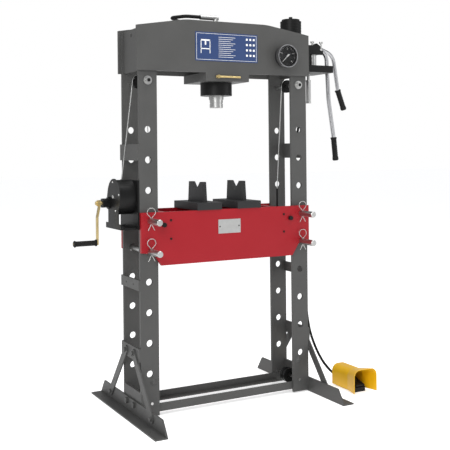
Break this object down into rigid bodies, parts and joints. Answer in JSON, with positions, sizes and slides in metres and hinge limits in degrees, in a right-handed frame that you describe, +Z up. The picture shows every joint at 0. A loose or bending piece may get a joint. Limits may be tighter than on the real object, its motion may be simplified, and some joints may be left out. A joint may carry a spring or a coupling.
{
  "type": "hydraulic shop press",
  "caption": "Floor-standing hydraulic shop press with an H-frame, height-adjustable pinned bed on a rope winch, V-blocks, vertical ram, pressure gauge, hand levers and air foot pedal.",
  "frame": {"origin": "centre of the rectangle of floor bolt holes, at floor level under the ram", "axes": "+X to the operator's right along the beam, +Y from the front to the back, +Z up along the ram"},
  "size_m": [1.4314, 0.75, 1.788],
  "materials": {
    "frame_grey": "satin",
    "black_metal": "satin",
    "v_block_grey": "satin",
    "bed_red": "satin",
    "bright_steel": "bright",
    "yellow_zinc": "satin",
    "chrome": "polished",
    "panel_blue": "matte",
    "gauge_black": "matte",
    "needle_white": "matte",
    "glass": "clear",
    "rubber_black": "matte",
    "plastic_black": "matte",
    "guard_yellow": "satin"
  },
  "bodies": {
    "frame": {"uprights": "frame_grey", "beam_front_plate": "frame_grey", "beam_rear_plate": "frame_grey", "beam_end_plates": "frame_grey", "cylinder_saddle": "frame_grey", "cylinder_barrel": "frame_grey", "cylinder_collar": "black_metal", "cylinder_gland": "bright_steel", "head_lock_rod": "yellow_zinc", "data_panel": "panel_blue", "gauge_case": "gauge_black", "gauge_bezel": "chrome", "gauge_dial": "gauge_black", "gauge_glass": "glass", "foot_left": "frame_grey", "foot_right": "frame_grey", "side_plates": "frame_grey", "braces": "frame_grey", "lower_ties": "frame_grey", "frame_bolts": "frame_grey", "axles": "bright_steel", "winch_bracket": "black_metal", "winch_cover": "black_metal", "pump_bracket": "black_metal", "pump_body": "black_metal", "pump_fittings": "bright_steel", "reservoir": "plastic_black", "rope_fixed": "bright_steel", "rope_drop_left": "bright_steel", "rope_drop_right": "bright_steel", "rope_dead_end": "black_metal", "top_fitting": "bright_steel", "oil_hose": "rubber_black", "pedal_base": "black_metal", "pedal_guard": "guard_yellow", "air_hose": "rubber_black"},
    "bed": {"bed_plates": "bed_red", "bed_spacers": "bed_red", "bed_bolts": "black_metal", "rope_anchors": "black_metal"},
    "pin_left_upper": {"bed_pin_left_upper": "bright_steel"},
    "pin_left_lower": {"bed_pin_left_lower": "bright_steel"},
    "pin_right_upper": {"bed_pin_right_upper": "bright_steel"},
    "pin_right_lower": {"bed_pin_right_lower": "bright_steel"},
    "v_block_left": {"v_block_left": "v_block_grey"},
    "v_block_right": {"v_block_right": "v_block_grey"},
    "ram": {"ram": "bright_steel"},
    "needle": {"gauge_needle": "needle_white"},
    "sheave_left": {"sheave_left": "black_metal"},
    "sheave_right": {"sheave_right": "black_metal"},
    "roller_left": {"roller_left": "black_metal"},
    "roller_right": {"roller_right": "black_metal"},
    "drum": {"winch_drum": "black_metal"},
    "crank": {"crank": "yellow_zinc"},
    "grip": {"crank_grip": "rubber_black"},
    "long_lever": {"long_lever": "chrome"},
    "short_lever": {"short_lever": "chrome"},
    "treadle": {"treadle": "rubber_black"}
  },
  "joints": [
    {"name": "bed_slide", "type": "slide", "parent": "frame", "child": "bed", "axis": [0, 0, 1], "range_m": [-0.52, 0.26], "deforming": ["rope_drop_left", "rope_drop_right"]},
    {"name": "ram_slide", "type": "slide", "parent": "frame", "child": "ram", "axis": [0, 0, -1], "range_m": [0, 0.16], "stiffness_N_per_m": 1000, "springref_m": -0.15},
    {"name": "pin_left_upper_slide", "type": "slide", "parent": "bed", "child": "pin_left_upper", "axis": [0, -1, 0], "range_m": [0, 0.3]},
    {"name": "pin_left_lower_slide", "type": "slide", "parent": "bed", "child": "pin_left_lower", "axis": [0, -1, 0], "range_m": [0, 0.3]},
    {"name": "pin_right_upper_slide", "type": "slide", "parent": "bed", "child": "pin_right_upper", "axis": [0, -1, 0], "range_m": [0, 0.3]},
    {"name": "pin_right_lower_slide", "type": "slide", "parent": "bed", "child": "pin_right_lower", "axis": [0, -1, 0], "range_m": [0, 0.3]},
    {"name": "v_block_left_slide", "type": "slide", "parent": "bed", "child": "v_block_left", "axis": [-1, 0, 0], "range_m": [0, 0.1]},
    {"name": "v_block_right_slide", "type": "slide", "parent": "bed", "child": "v_block_right", "axis": [1, 0, 0], "range_m": [0, 0.1]},
    {"name": "needle_turn", "type": "hinge", "parent": "frame", "child": "needle", "pos_m": [0.284, -0.1633, 1.561], "axis": [0, 1, 0], "range_deg": [0, 270], "stiffness_Nm_per_rad": 0.002, "springref_deg": -17.19},
    {"name": "sheave_left_turn", "type": "hinge", "parent": "frame", "child": "sheave_left", "pos_m": [-0.381, 0, 1.436], "axis": [0, 1, 0], "continuous": true},
    {"name": "sheave_right_turn", "type": "hinge", "parent": "frame", "child": "sheave_right", "pos_m": [0.381, 0, 1.436], "axis": [0, 1, 0], "continuous": true},
    {"name": "roller_left_turn", "type": "hinge", "parent": "frame", "child": "roller_left", "pos_m": [-0.373, 0, 0.06], "axis": [0, 1, 0], "continuous": true},
    {"name": "roller_right_turn", "type": "hinge", "parent": "frame", "child": "roller_right", "pos_m": [0.373, 0, 0.06], "axis": [0, 1, 0], "continuous": true},
    {"name": "drum_turn", "type": "hinge", "parent": "frame", "child": "drum", "pos_m": [-0.466, -0.008, 0.94], "axis": [1, 0, 0], "continuous": true},
    {"name": "crank_turn", "type": "hinge", "parent": "frame", "child": "crank", "pos_m": [-0.53, 0.048, 0.911], "axis": [1, 0, 0], "continuous": true},
    {"name": "grip_turn", "type": "hinge", "parent": "crank", "child": "grip", "pos_m": [-0.61, 0.048, 0.741], "axis": [1, 0, 0], "continuous": true},
    {"name": "long_lever_swing", "type": "hinge", "parent": "frame", "child": "long_lever", "pos_m": [0.545, 0, 1.637], "axis": [0, -1, 0], "range_deg": [0, 50]},
    {"name": "short_lever_swing", "type": "hinge", "parent": "frame", "child": "short_lever", "pos_m": [0.6, 0.06, 1.64], "axis": [0, -1, 0], "range_deg": [0, 40]},
    {"name": "treadle_press", "type": "hinge", "parent": "frame", "child": "treadle", "pos_m": [0.621, -0.214, 0.016], "axis": [-1, 0, 0], "range_deg": [0, 8], "stiffness_Nm_per_rad": 4, "springref_deg": -17.19}
  ],
  "couplings": [
    {"joint": "crank_turn", "follows": "drum_turn", "ratio": -5.29}
  ]
}
